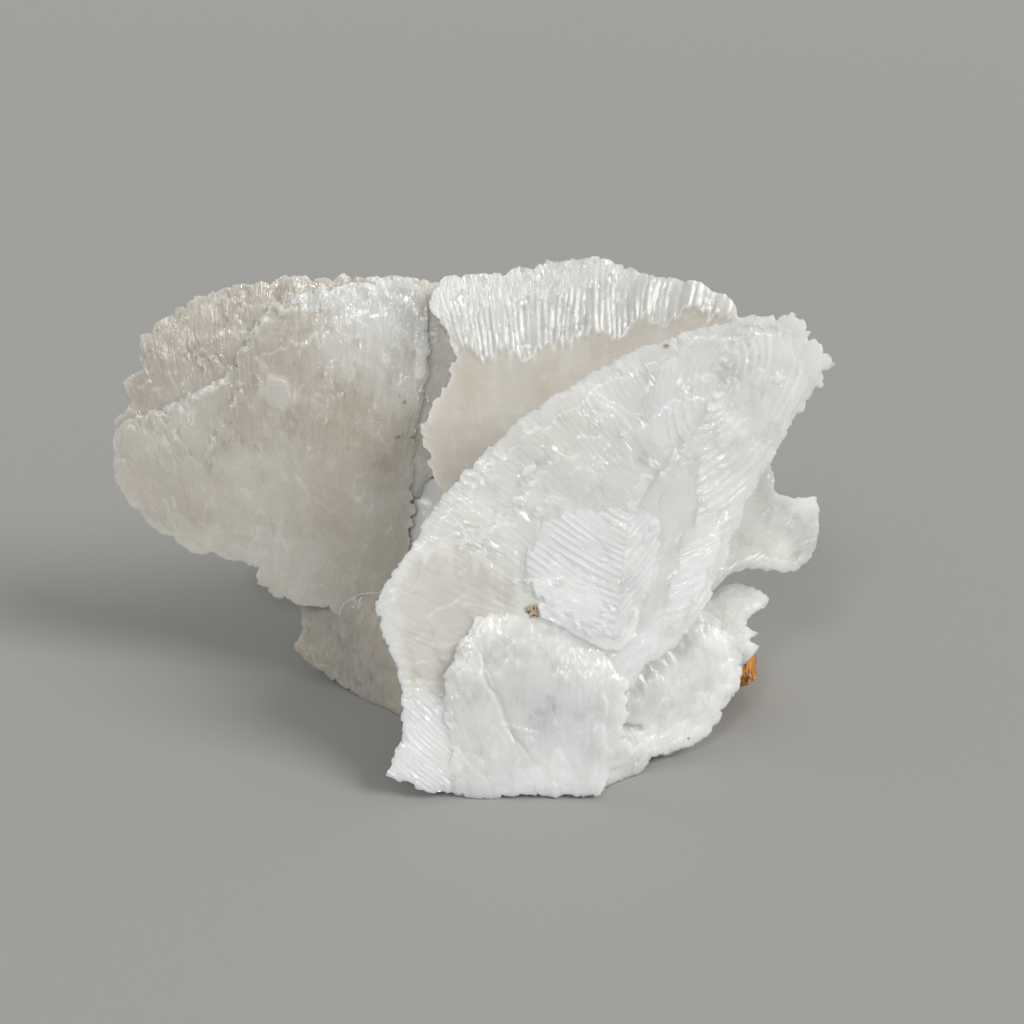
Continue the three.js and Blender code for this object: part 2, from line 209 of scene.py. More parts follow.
# Its warm grey, like the front sheet's, is mostly painted shade.
BLADES["leftBackSheet"] = shape(
    "-34,-2 -35,2 -31.5,6 -33.5,9 -29.5,13 -29,19 -24,23 -19,27 -9.5,30 7.5,32 22,32 33,30 36,20 34,4 28,-12 "
    "10,-24 -8,-18 -25,-13",
    heart=(-38, 18.5, 50.5), facing=-8, lean=12, thick=(5, 1.8), bend=(-1, -2), mesh=(0.42, 0.55),
    grain=("fan", (6, -110)), ridge=(0.03, 1.1), steps=[(2.6, -0.12, 2.0), (9, -0.1, 4)],
    scales=(60, 4.5, 0.1), rim=(6.0, 1.5, 2.0, 0.7), swell=(0.45, 12), tone=0.85, pale_rim=0.3,
    patches=[
        # Paler and less warm at its right end: painted light, lifting the shade in the recess beside the
        # dish.
        shape("27,34 38,34 38,-10 27,-14", edge=1.5, frost=0.2, warm=-0.05)])
# The sheet under them is the darkest warm grey: painted shade, under the overhang of the sheets above.
BLADES["underSheet"] = shape(
    "-15.5,3 -10,7 -2,10 6,11 15,9 22,2 22,-13 14,-16 5,-15.5 0,-13.8 -6.9,-12.2 -13.4,-9.7 -12.4,-4",
    heart=(-24, 10.7, 14), facing=-38, lean=12, thick=(6, 2), bend=(2, 0), mesh=(0.45, 0.8),
    grain=("fan", (8, 40)), ridge=(0.08, 1.3), steps=[(2.5, 0.15, 2.0)], scales=(40, 3.5, 0.2),
    tuck=[(75, 2, 0.06), (35, 5, 0.06)], rim=(5.0, 1.0, 1.8, 0.7), swell=(0.7, 7), pale_rim=0.1, tone=1.0,
    ice=0.9)
BLADES["backDish"] = shape(
    "-25.5,23 -13,25.5 5.5,28 14,25 25,22.5 31.5,18.5 33,6 30,-8 24,-21 12,-30 -4,-34 -20,-28 -27,-15 "
    "-28.5,-4 -24,4 -23,10 -26.5,17",
    heart=(20, 12, 60), facing=4, lean=24, thick=(8, 2.2), bend=(3, -1), mesh=(0.36, 0.6),
    grain=("fan", (-8, -85)), ridge=(0.05, 1.2), steps=[], scales=(24, 4, 0.08), rim=(5.0, 0.9, 2.2, 0.9),
    swell=(0.4, 12), tone=0.6, extra="dish")
BLADES["behindDish"] = shape(
    "-20,14 -6,20 10,21 20,18 25,15 24,4 18,-14 4,-26 -14,-22 -22,-4",
    heart=(34, 17, 56), facing=4, lean=22, thick=(6, 1.8), bend=(1, -1), mesh=(0.5, 0.6),
    grain=("fan", (0, -70)), ridge=(0.24, 1.7), steps=[(2.4, 0.2, 2.0), (7, 0.2, 3)], scales=(40, 4, 0.2),
    swell=(0.4, 10), tone=0.35)
BLADES["rearFan"] = shape(
    "-35,2 -33,13 -26,18 -21,29 -9,33 -2,41 12,41 19,34 29,31 36,17 33,2 28,-14 14,-34 -6,-44 -22,-30 "
    "-30,-12",
    heart=(14, 26, 36), facing=4, lean=36, thick=(10, 2), bend=(-2, -3), mesh=(0.8, 0.5),
    grain=("fan", (0, -60)), ridge=(0.3, 1.6), steps=[(3, 0.35, 2.4), (9, 0.3, 3.5), (18, 0.25, 5)],
    scales=(90, 5, 0.24), best=-1, swell=(0.6, 12), tone=0.35)
BLADES["rearLeft"] = shape(
    "-28,-4 -25,8 -17,12 -13,22 -2,26 6,31 20,24 26,6 24,-20 10,-30 -10,-30 -19,-22 -20,-12",
    heart=(-10, 26, 26), facing=-62, lean=8, thick=(8, 2), bend=(3, 1), mesh=(0.6, 0.6),
    grain=("fan", (8, -60)), ridge=(0.27, 1.7), steps=[(2.8, 0.3, 2.2), (9, 0.3, 3.5)],
    scales=(60, 4.5, 0.24), swell=(0.6, 10), tone=0.5)
BLADES["rearRight"] = shape(
    "-27,0 -22,22 -10,30 -2,25 8,28 16,19 24,15 26,2 20,-6 22,-16 13,-28 -4,-29 -20,-26",
    heart=(38, 24, 24), facing=58, lean=6, thick=(8, 2), bend=(-3, 1), mesh=(0.6, 0.6),
    grain=("fan", (-4, -60)), ridge=(0.3, 1.7), steps=[(2.8, 0.3, 2.2), (8, 0.3, 3)], scales=(60, 4.5, 0.24),
    swell=(0.6, 10), tone=0.25)
BLADES["rearFoot"] = shape(
    "-25,0 -22,10 -12,13 -7,22 5,21 11,14 21,12 26,1 20,-9 17,-22 -6,-22 -18,-15",
    heart=(10, 36, 18), facing=-8, lean=-18, thick=(9, 2), bend=(-3, 0), mesh=(0.7, 0.5),
    grain=("fan", (0, -44)), ridge=(0.33, 1.7), steps=[(2.6, 0.3, 2.0), (8, 0.3, 3)], scales=(50, 4.5, 0.24),
    best=-1, swell=(0.5, 9), tone=0.4)
BLADES["rearWing"] = shape(
    "-21,-2 -18,8 -10,10 -6,18 6,19 12,10 19,6 18,-8 11,-19 -2,-24 -9,-16 -17,-12",
    heart=(-8, 40, 24), facing=38, lean=-14, thick=(6, 1.8), bend=(2, 1), mesh=(0.6, 0.55),
    grain=("fan", (0, -40)), ridge=(0.3, 1.6), steps=[(2.4, 0.3, 1.8), (7, 0.25, 2.5)], scales=(40, 4, 0.22),
    best=-1, swell=(0.5, 8), tone=0.4)
BLADES["valleyBlade"] = shape(
    "-19,0 -15,10 -7,12 -1,18 9,15 13,7 20,2 17,-10 9,-22 -10,-22 -18,-12",
    heart=(40, 6, 44), facing=66, lean=-4, thick=(6, 1.8), bend=(-2, 2), mesh=(0.55, 0.6),
    grain=("fan", (0, -50)), ridge=(0.27, 1.6), steps=[(2.4, 0.3, 1.8), (7, 0.25, 2.5)], scales=(36, 4, 0.22),
    swell=(0.5, 8), tone=0.3)
BLADES["core"] = shape(
    "-24,0 -18,14 -4,24 12,25 24,16 28,0 24,-20 -20,-20",
    heart=(13, -11, 17), facing=0, lean=12, thick=(36, 10), bend=(0, 0), mesh=(0.9, 0.9),
    grain=("fan", (0, -40)), ridge=(0.3, 1.8), steps=[], scales=(60, 5, 0.5), swell=(1.0, 9), tone=0.5)
BLADES["leftCore"] = shape(
    "-13,2 -8,13 4,20 15,12 17,-8 8,-18 -6,-14",
    heart=(-9, 14, 24), facing=-14, lean=5, thick=(14, 4), bend=(0, 0), mesh=(0.7, 0.7),
    grain=("fan", (0, -40)), ridge=(0.25, 1.5), steps=[], scales=(40, 4, 0.35), swell=(0.8, 8), tone=0.45)

# The lump of matrix: a squarish ball that leans on the right spur, sunk a little so that its roughness stays
# inside the CAD lump's box. tilt: how far its back end tips up, and down where it is below zero.
LUMP = dict(
    middle=(51.2, 4.6, 7), half_sizes=(5.3, 12.3, 4.6), tilt=-26, squareness=0.58, sunk=0.4, detail=6)
LUMP_BOX = ((48.5, -18.2, 0.0), (60.8, 6.6, 15.8))

# Soft suns: where each stands (round from -Y towards +X, and up), its strength, its spread and its colour.
LIGHTS = {
    "window": (62, 38, 1.98, 30, (1.0, 0.985, 0.96)),
    "second_window": (-20, 36, 0.75, 11, (0.95, 0.98, 1.0)),
}
STUDIO_COLOUR = (0.80, 0.81, 0.80, 1)
STUDIO_STRENGTH = 0.52
FLOOR_COLOUR = (0.36, 0.355, 0.34, 1)
FLOOR_ROUGHNESS = 0.8
FLOOR_CORNERS = [(-60, -60, 0), (60, -60, 0), (60, 60, 0), (-60, 60, 0)]
# The camera's place in metres, its turn up from straight down, and its lens and sensor.
CAMERA_PLACE = (0.01173, -0.2645, 0.13375)
CAMERA_TURN = 70
CAMERA_LENS = 50
CAMERA_SENSOR = 36
CAMERA_CLIP_START = 0.01

# The blades are joined in four groups, so that no piece has too many triangles.
GROUPS = {
    "calcite_front_blades": ["frontFan", "frontPlate", "rightBowl", "rightSpur", "rightPlate"],
    "calcite_left_blades": ["leftFrontSheet", "leftBackSheet", "underSheet"],
    "calcite_middle_blades": ["core", "leftCore", "backDish", "behindDish", "valleyBlade"],
    "calcite_rear_blades": ["rearFan", "rearLeft", "rearRight", "rearFoot", "rearWing"],
}


# ------ noise

def hashed(ix, iy, seed):
    """A number from 0 to 1 for each whole-numbered place."""
    h = (ix.astype(np.int64) * 374761393 + iy.astype(np.int64) * 668265263 + int(seed) * 974634777)
    h = h & 0xFFFFFFFF
    h = ((h ^ (h >> 13)) * 1274126177) & 0xFFFFFFFF
    h = ((h ^ (h >> 16)) * 2246822519) & 0xFFFFFFFF
    return ((h ^ (h >> 15)) & 0xFFFFFF) / float(0xFFFFFF)


def smooth(low, high, x):
    t = np.clip((x - low) / (high - low), 0, 1)
    return t * t * (3 - 2 * t)


def bell(x, width):
    """1 at 0, falling away on both sides over about this width."""
    return np.exp(-((x / width) ** 2))


def noise(x, y, seed):
    """Smooth noise from -1 to 1 whose bumps are about one unit wide."""
    ix, iy = np.floor(x), np.floor(y)
    fx, fy = x - ix, y - iy
    fx, fy = fx * fx * (3 - 2 * fx), fy * fy * (3 - 2 * fy)
    a = hashed(ix, iy, seed)
    b = hashed(ix + 1, iy, seed)
    c = hashed(ix, iy + 1, seed)
    d = hashed(ix + 1, iy + 1, seed)
    return 2 * (a + (b - a) * fx + (c - a) * fy + (a - b - c + d) * fx * fy) - 1


def wobble(along, width, seed):
    """Smooth noise that changes only along a line."""
    return noise(along / width, along * 0, seed)


def layered(x, y, seed, layers=3):
    total, size, strength = 0, 1.0, 1.0
    for k in range(layers):
        total = total + strength * noise(x / size, y / size, seed + 17 * k)
        size, strength = size * 0.5, strength * 0.5
    return total / 1.75


# ------ rims

def chord(a, b):
    """The root of the distance between points, which spaces a centripetal curve."""
    return np.sqrt(np.linalg.norm(b - a, axis=1))[:, None]


def smooth_rim(outline, step):
    """Points about step apart on the closed centripetal Catmull-Rom curve through the outline."""
    p = np.array(outline, float)
    before, after, far = np.roll(p, 1, 0), np.roll(p, -1, 0), np.roll(p, -2, 0)
    g0, g1, g2 = chord(before, p), chord(p, after), chord(after, far)
    leave = g1 * ((p - before) / g0 - (after - before) / (g0 + g1) + (after - p) / g1)
    reach = g1 * ((after - p) / g1 - (far - p) / (g1 + g2) + (far - after) / g2)
    t = np.linspace(0, 1, CURVE_STEPS, endpoint=False)[:, None, None]
    cubic = (2 * t**3 - 3 * t**2 + 1) * p + (t**3 - 2 * t**2 + t) * leave
    cubic = cubic + (3 * t**2 - 2 * t**3) * after + (t**3 - t**2) * reach
    dense = cubic.transpose(1, 0, 2).reshape(-1, 2)
    dense = np.vstack([dense, dense[:1]])
    length = np.concatenate([[0], np.cumsum(np.linalg.norm(np.diff(dense, axis=0), axis=1))])
    count = int(round(length[-1] / step))
    at = np.arange(count) * length[-1] / count
    rim = np.stack([np.interp(at, length, dense[:, k]) for k in (0, 1)], 1)
    return rim, at, length[-1]


def lengths_along(total, width, draw):
    """Where uneven lengths of about this width end around the rim."""
    widths = []
    while sum(widths) < total:
        widths.append(width * draw.uniform(0.4, 1.7))
    return np.cumsum(widths) * total / sum(widths)


def lengths_at(at, total, width, draw):
    """Which uneven length each rim point lies in, how far along it, and how many lengths there are."""
    ends = lengths_along(total, width, draw)
    which = np.minimum(np.searchsorted(ends, at, side="right"), len(ends) - 1)
    starts = np.concatenate([[0], ends])[which]
    return which, (at - starts) / (ends[which] - starts), len(ends)


def lobes(at, total, width, depth, draw):
    """Rounded lobes of uneven width with sharp notches between them."""
    which, share, count = lengths_at(at, total, width, draw)
    share = share ** draw.uniform(0.7, 1.4, count)[which]
    drop = draw.uniform(0.3, 1.0, count)[which]
    inset = draw.uniform(0.0, 0.5, count)[which]
    return -depth * (inset + drop * np.abs(2 * share - 1) ** 3.0)


def teeth(at, total, width, depth, draw):
    """Blocky teeth of uneven width, each slanted its own way."""
    which, share, count = lengths_at(at, total, width, draw)
    inset = draw.uniform(0.1, 1.0, count)[which]
    slant = draw.uniform(-0.8, 0.8, count)[which]
    return -depth * np.clip(inset + slant * (share - 0.5), 0, 1.4)


def outward(rim):
    side = np.roll(rim, -2, 0) - np.roll(rim, 2, 0)
    side = side / np.linalg.norm(side, axis=1)[:, None]
    return np.stack([-side[:, 1], side[:, 0]], 1)


def ragged_rim(blade, rim, at, total, draw):
    """The rim with lobes and teeth cut into it. The outline runs clockwise, so its left is outward."""
    wide, deep, narrow, shallow = blade.get("rim", USUAL_RIM)
    cut = lobes(at, total, wide, deep, draw) + teeth(at, total, narrow, shallow, draw)
    cut = cut + teeth(at, total, *SMALL_TEETH, draw) + RIM_BALANCE * (deep + shallow)
    for x, y, reach, more in blade.get("torn", ()):
        gap = np.hypot(rim[:, 0] - x, rim[:, 1] - y)
        cut = cut * (1 + more * bell(gap, reach))
    ragged = rim + outward(rim) * cut[:, None]
    while crosses_itself(ragged):
        cut = cut * SOFTER
        ragged = rim + outward(rim) * cut[:, None]
    return ragged


def crosses_itself(rim):
    """True if the closed rim crosses itself, which would add a point where it does."""
    points = [Vector(p) for p in rim.tolist()]
    loop = [(i, (i + 1) % len(rim)) for i in range(len(rim))]
    return len(delaunay_2d_cdt(points, loop, [], 0, SAME_POINT, False)[0]) != len(rim)


# ------ skins

def grain_of(grain, x, y):
    """(across, along): millimetres across the striae and along them."""
    kind = grain[0]
    if kind == "straight":
        a = math.radians(grain[1])
        return -x * math.sin(a) + y * math.cos(a), x * math.cos(a) + y * math.sin(a)
    if kind == "fan":
        dx, dy = x - grain[1][0], y - grain[1][1]
        far = math.hypot(*grain[1])
        return np.arctan2(-dx, dy) * far, np.hypot(dx, dy)
    if kind == "rings":
        a = math.radians(grain[2])
        dx, dy = x - grain[1][0], y - grain[1][1]
        u, v = dx * math.sin(a) - dy * math.cos(a), (dx * math.cos(a) + dy * math.sin(a)) / grain[3]
        return np.hypot(u, v), np.arctan2(u, v) * 10
    (px, py), angle, left, right = grain[1:]
    a = math.radians(angle)
    on_left = (y - py) * math.cos(a) - (x - px) * math.sin(a) > 0
    la, ll = grain_of(left, x, y)
    ra, rl = grain_of(right, x, y)
    return np.where(on_left, la, ra + 71.3), np.where(on_left, ll, rl)


def turned(x, y, angle):
    a = math.radians(angle)
    return x * math.cos(a) + y * math.sin(a), y * math.cos(a) - x * math.sin(a)


def ridges(across, along, width, seed):
    """Long narrow crests from 0 to 1, steeper on one side, that come and go along the striae."""
    drift = 0.8 * noise(across / 7, along / 12, seed) + 0.3 * noise(across / 1.7, along / 9, seed + 5)
    turn = (across / width + drift) % 1.0
    saw = np.minimum(turn / 0.66, (1 - turn) / 0.34)
    strength = smooth(-0.6, 0.5, noise(across / (2.2 * width), along / 5, seed + 6))
    return saw * (0.25 + 0.75 * strength)


def step_down(depth, ragged, width=0.3):
    """1 before a growth step's edge, 0 past it, and how near each point is to that edge."""
    past = smooth(-width, width, depth - ragged)
    return 1 - past, 4 * past * (1 - past)


def patch_mask(patch, x, y, seed):
    """1 inside the patch's outline and 0 outside, with a torn edge."""
    line = smooth_rim(patch["outline"], PATCH_STEP)[0]
    points = np.stack([x, y], 1)
    gap = np.where(inside(line, points), 1, -1) * depth_in(line, points)
    q, r = turned(x, y, 90)
    torn = noise(r / 0.9, q / 5, seed) + 0.8 * noise(x / 3.5, y / 3.5, seed + 1)
    return smooth(-1, 1, (gap + patch.get("torn", 0.5) * torn) / patch.get("edge", 0.25))


def grain_at(blade, side, x, y):
    """The blade's own striae, and those of its patches where they lie."""
    across, along = grain_of(blade["grain"], x, y)
    if side > 0:
        for k, patch in enumerate(blade.get("patches", ())):
            if "grain" in patch:
                under = patch_mask(patch, x, y, PATCH_SEED + k) > 0.5
                own_across, own_along = grain_of(patch["grain"], x, y)
                across = np.where(under, own_across + 13.7 * (k + 1), across)
                along = np.where(under, own_along, along)
    return across, along


def skin(blade, side, x, y, depth, seed):
    """Height of the relief and the finish (frost, gloss, warmth) at points of one face. The frost is partly
    painted highlight and the warmth partly painted shade.
    """
    across, along = grain_at(blade, side, x, y)
    draw = np.random.default_rng(seed)
    rise, spread = blade["swell"]
    height = rise * layered(x / spread, y / spread, seed + 1)
    frost = np.zeros_like(x)
    strength = np.ones_like(x)
    if "fade" in blade and side > 0:
        direction, start, end = blade["fade"]
        q, _ = turned(x, y, direction)
        strength = 1 - 0.85 * smooth(start, end, q + 2.5 * noise(x / 5, y / 5, seed + 3))
    patchy = 0.25 + 0.75 * smooth(-0.35, 0.35, layered(x / 8, y / 8, seed + 9))
    strength = strength * patchy
    deep, width = blade["ridge"]
    shown = side == blade.get("best", 1)
    if not shown:
        deep, width = max(deep, BACK_RIDGE[0]), max(width, BACK_RIDGE[1])
    crest = ridges(across, along, width, seed + 2)
    # growth steps, whose edges are combed out along the striae. Their edges are whitened: painted highlight,
    # where they catch the light.
    comb = noise(across / 1.0, along / 14, seed + 21) * 0.5 + noise(across / 2.6, along / 20, seed + 22)
    for k, (inset, rise, wander) in enumerate(blade["steps"]):
        ragged = wander * (0.55 * comb + 0.9 * noise(x / 8, y / 8, seed + 31 + k))
        before, near = step_down(depth - inset, ragged)
        height = height + (rise if shown else BACK_STEP) * before
        frost = frost + 0.3 * near
    # scales: thin plates that lie over one another like shingles. Their raised edges are whitened: painted
    # highlight.
    count, size, rise = blade["scales"]
    for i in draw.permutation(len(x))[:count]:
        wide = size * draw.uniform(0.35, 1.0)
        tall = wide * draw.uniform(1.1, 2.4)
        lift = rise * draw.uniform(0.4, 1.0)
        near = (np.abs(across - across[i]) < 2 * wide) & (np.abs(along - along[i]) < 2 * tall)
        a, b = across[near] - across[i], along[near] - along[i]
        q = np.abs(a / wide) ** 1.4 + np.abs(b / tall) ** 1.4 + 0.3 * noise(a / 0.8 + i, b / 3, seed + 40)
        edge = 1 - smooth(0.85, 1.0, q)
        tilt = 0.3 + 0.7 * smooth(-1, 1, b / tall)
        height[near] += lift * tilt * edge
        frost[near] += 0.12 * tilt * 4 * edge * (1 - edge)
    gloss = strength.copy()
    relief = deep * crest * strength
    # The blade's tone: warmth, partly painted shade on the blades that lie in shade.
    warm = np.full_like(x, blade["tone"])
    if side > 0:
        for k, patch in enumerate(blade.get("patches", ())):
            m = patch_mask(patch, x, y, PATCH_SEED + k)
            if "ridge" in patch:
                own_deep, own_width = patch["ridge"]
                own = ridges(across, along, own_width, seed + 70 + k)
                relief = relief + m * (own_deep * own - relief)
                gloss = gloss + m * (1.2 - gloss)
                crest = crest + m * (own - crest)
            direction, low, high = patch.get("lift", (0, 0, 0))
            q, _ = turned(x, y, direction)
            q = (q - q[m > 0.5].min()) / (np.ptp(q[m > 0.5]) + 0.01) if (m > 0.5).any() else q
            height = height + m * (low + (high - low) * np.clip(q, 0, 1))
            frost = frost + m * patch.get("frost", 0)
            gloss = gloss + m * patch.get("gloss", 0)
            warm = warm + m * patch.get("warm", 0)
        if "extra" in blade:
            height, frost, gloss, warm = EXTRAS[blade["extra"]](
                x, y, across, along, seed, height, frost, gloss, warm)
    frost = frost - blade.get("ice", 0) * smooth(-0.4, 0.6, layered(x / 9, y / 9, seed + 12, 2))
    # White lines along the glossy crests: painted highlight.
    frost = frost + 0.3 * gloss * smooth(0.7, 0.95, crest)
    # The whiter rim: painted highlight where the thin edges catch the light.
    pale = blade.get("pale_rim", PALE_RIM) * (1 if shown else BACK_PALE)
    frost = frost + pale * (0.5 * np.exp(-depth / 0.4) + 0.2 * np.exp(-depth / 2.0))
    return height + relief, np.clip(frost, -1, 1), np.clip(gloss, 0, 1), np.clip(warm, 0, 1)


def fan_extra(x, y, across, along, seed, height, frost, gloss, warm):
    """The front fan's shallow crease and the rolled bevel down its right side."""
    u, v = turned(x - 5.6, y - 4.8, 60)
    v = v + 0.9 * wobble(u, 7, seed + 50)
    on_crease = smooth(-4, 4, u) * smooth(27, 18, u)
    height = height - 0.3 * bell(v, 0.7) * on_crease + 0.4 * smooth(0, 9, v) * on_crease
    q, r = turned(x - 29.4, y - 20.2, 64)
    bevel = smooth(0.3, 4.2, -r + 0.5 * wobble(q, 3, seed + 51))
    height = height - 1.3 * bevel * smooth(-40, -20, q)
    return height, frost, gloss, warm


def plate_extra(x, y, across, along, seed, height, frost, gloss, warm):
    """The front plate is two plates that meet in a long wandering groove."""
    q, r = turned(x + 6.6, y - 2.8, 112)
    r = r + 0.7 * wobble(q, 5, seed + 61) + 0.012 * q * q - 0.6
    keep = smooth(14, 8, q) * smooth(-14, -8, q)
    height = height - 0.25 * bell(r, 0.4) * keep + 0.06 * np.clip(r, 0, 8)
    line = bell(r - 0.5, 0.25) * keep
    q, r = turned(x + 6.6, y + 1.2, -13)
    crack = bell(r + 0.3 * wobble(q, 1.5, seed + 66), 0.22)
    crack = crack * smooth(-0.5, 0.5, q) * smooth(8, 6, q)
    return height + 0.12 * crack, frost + 0.15 * line + 0.3 * crack, gloss, warm


def sheet_extra(x, y, across, along, seed, height, frost, gloss, warm):
    """The left sheet's faint curved lines, and its bright chips along the upper edge."""
    faint = np.zeros_like(x)
    for cx, cy, angle, length in [(-8, -18.5, 4, 7), (9.5, -12, -28, 4), (4, -13, 60, 4)]:
        q, r = turned(x - cx, y - cy, angle)
        bow = r + 0.02 * q * q + 0.9 * wobble(q, 2.2, seed + 54)
        faint = faint + bell(bow, 0.4) * smooth(length, length - 2, np.abs(q))
    height = height + 0.05 * faint
    frost = frost + 0.08 * faint
    along_edge = np.interp(x, [-20.6, -16.4, -11.8, -7.1, -4, 2], [7.4, 10.5, 13.3, 20.7, 24.8, 28.4])
    near_edge = bell(y - along_edge + 1.2, 1.6) * smooth(-23, -18, x) * smooth(5, 1, x)
    chips = near_edge * smooth(-0.1, 0.25, layered(x / 1.6, y / 1.6, seed + 64))
    height = height + 0.35 * chips
    frost = frost + 0.6 * chips
    warm = warm - 0.14 * smooth(10, -14, x + 0.6 * y + 4 * noise(x / 9, y / 9, seed + 65))
    return height, frost, gloss, warm


def dish_extra(x, y, across, along, seed, height, frost, gloss, warm):
    """The dish's glossy crust: a combed band along its top, which ends in ragged drips."""
    lower = np.interp(x, [-30, -22, -17, -9, -2, 6, 14, 26, 34], [9, 9.5, 8.5, 9, 10.5, 11.5, 14, 17, 17])
    drip = 1.6 * noise(across / 0.7, along / 30, seed + 55) + 2.4 * noise(across / 2.3, along / 40, seed + 56)
    drip = drip + 2.0 * noise(across / 6.0, along / 40, seed + 62)
    over = y - lower - drip
    crust = smooth(-1.0, 1.0, over)
    strands = ridges(across, along, 0.95, seed + 63)
    height = height * (0.35 + 0.65 * crust) + crust * (0.3 - 0.17 * np.clip(over, 0, 14) + 0.4 * strands)
    streaky = smooth(0.45, 0.9, strands) * smooth(-0.5, 0.5, layered(x / 5, y / 9, seed + 67))
    frost = frost * (0.2 + 0.3 * crust) + 0.08 * bell(over - 0.6, 0.9)
    frost = frost + crust * (1.3 * streaky - 0.95)
    # Warmer grey below the crust: painted shade, where the front fan shades the dish's lower part.
    warm = warm * (1 - 0.5 * smooth(-4, 9, over)) + 0.2 * (1 - crust)
    return height, frost, crust * (0.7 + 0.3 * gloss), warm


EXTRAS = {"fan": fan_extra, "plate": plate_extra, "sheet": sheet_extra, "dish": dish_extra}


# ------ blades

def placed(name, data):
    """A new object with this data, in the scene."""
    made = bpy.data.objects.new(name, data)
    bpy.context.scene.collection.objects.link(made)
    return made


def frame_of(blade):
    facing, lean = math.radians(blade["facing"]), math.radians(blade["lean"])
    forward = np.array([
        math.sin(facing) * math.cos(lean), -math.cos(facing) * math.cos(lean), math.sin(lean)])
    across = np.array([math.cos(facing), math.sin(facing), 0])
    return across, np.cross(forward, across), forward


def hex_points(rim, spacing, margin, draw):
    """Points on a slightly shaken hexagonal grid inside the rim, and how deep each lies."""
    low, high = rim.min(0), rim.max(0)
    rows = np.arange(low[1], high[1], spacing * math.sqrt(0.75))
    columns = np.arange(low[0], high[0], spacing)
    gx, gy = np.meshgrid(columns, rows)
    gx = gx + (np.arange(len(rows)) % 2)[:, None] * spacing / 2
    p = np.stack([gx.ravel(), gy.ravel()], 1)
    p = p + draw.uniform(-SHAKE, SHAKE, p.shape) * spacing
    p = p[inside(rim, p)]
    return p[depth_in(rim, p) > margin]


def face_points(blade, side, rim, spacing, draw):
    """The points inside one face, closer together inside the patches that have a mesh of their own."""
    inner = hex_points(rim, spacing, 0.45 * min(spacing, 0.5), draw)
    for patch in blade.get("patches", ()) if side > 0 else ():
        if "mesh" in patch:
            line = smooth_rim(patch["outline"], PATCH_STEP)[0]
            fine = hex_points(line, patch["mesh"], 0.1, draw)
            fine = fine[inside(rim, fine)]
            fine = fine[depth_in(rim, fine) > 0.15]
            inner = np.vstack([inner[~inside(line, inner)], fine])
    return inner


def inside(rim, p):
    """True for points inside the closed rim, by counting the edges above each."""
    a, b = rim, np.roll(rim, -1, 0)
    found = np.zeros(len(p), bool)
    for (ax, ay), (bx, by) in zip(a, b):
        spans = (ax > p[:, 0]) != (bx > p[:, 0])
        if bx != ax:
            above = p[:, 1] < ay + (p[:, 0] - ax) * (by - ay) / (bx - ax)
            found ^= spans & above
    return found


def depth_in(rim, p):
    """Each point's distance to the nearest rim point."""
    nearest = np.empty(len(p))
    for start in range(0, len(p), BATCH):
        part = p[start:start + BATCH]
        gap = (part[:, None, 0] - rim[None, :, 0]) ** 2 + (part[:, None, 1] - rim[None, :, 1]) ** 2
        nearest[start:start + BATCH] = np.sqrt(gap.min(1))
    return nearest


def triangulated(rim, inner):
    """Triangles over the rim and the inner points. Those that bridge a notch outside the rim are left out."""
    count = len(rim)
    points = [Vector(p) for p in np.vstack([rim, inner]).tolist()]
    loop = [(i, (i + 1) % count) for i in range(count)]
    places, _, faces = delaunay_2d_cdt(points, loop, [], 1, SAME_POINT, False)[:3]
    places, faces = np.array([p[:] for p in places]), np.array(faces)
    keep = np.ones(len(faces), bool)
    on_rim = np.flatnonzero((faces < count).all(1))
    keep[on_rim] = inside(rim, places[faces[on_rim]].mean(1))
    return places, faces[keep]


def dirt_on(blade, local, back):
    """How dirty each point is. Each spot is (across, up, radius) on the blade's front."""
    dirty = np.zeros(len(local))
    for x, y, radius in blade.get("dirt", ()):
        gap = np.hypot((local[:back, 0] - x) / 1.25, local[:back, 1] - y) / radius
        torn = 0.45 * noise(local[:back, 0] / 0.7, local[:back, 1] / 0.7, 77)
        dirty[:back] = np.maximum(dirty[:back], smooth(1.15, 0.7, gap + torn))
    return dirty


def faces_between(first, second, count):
    """The strip that joins two rims of count points, wound to face outward."""
    ring = np.arange(count)
    after = (ring + 1) % count
    return np.concatenate([
        np.stack([ring + first, after + first, after + second], 1),
        np.stack([ring + first, after + second, ring + second], 1)])


def rounded(share):
    """A quarter circle: rises steeply from 0 and flattens out at 1."""
    return np.sqrt(1 - (1 - np.clip(share, 0, 1)) ** 2)


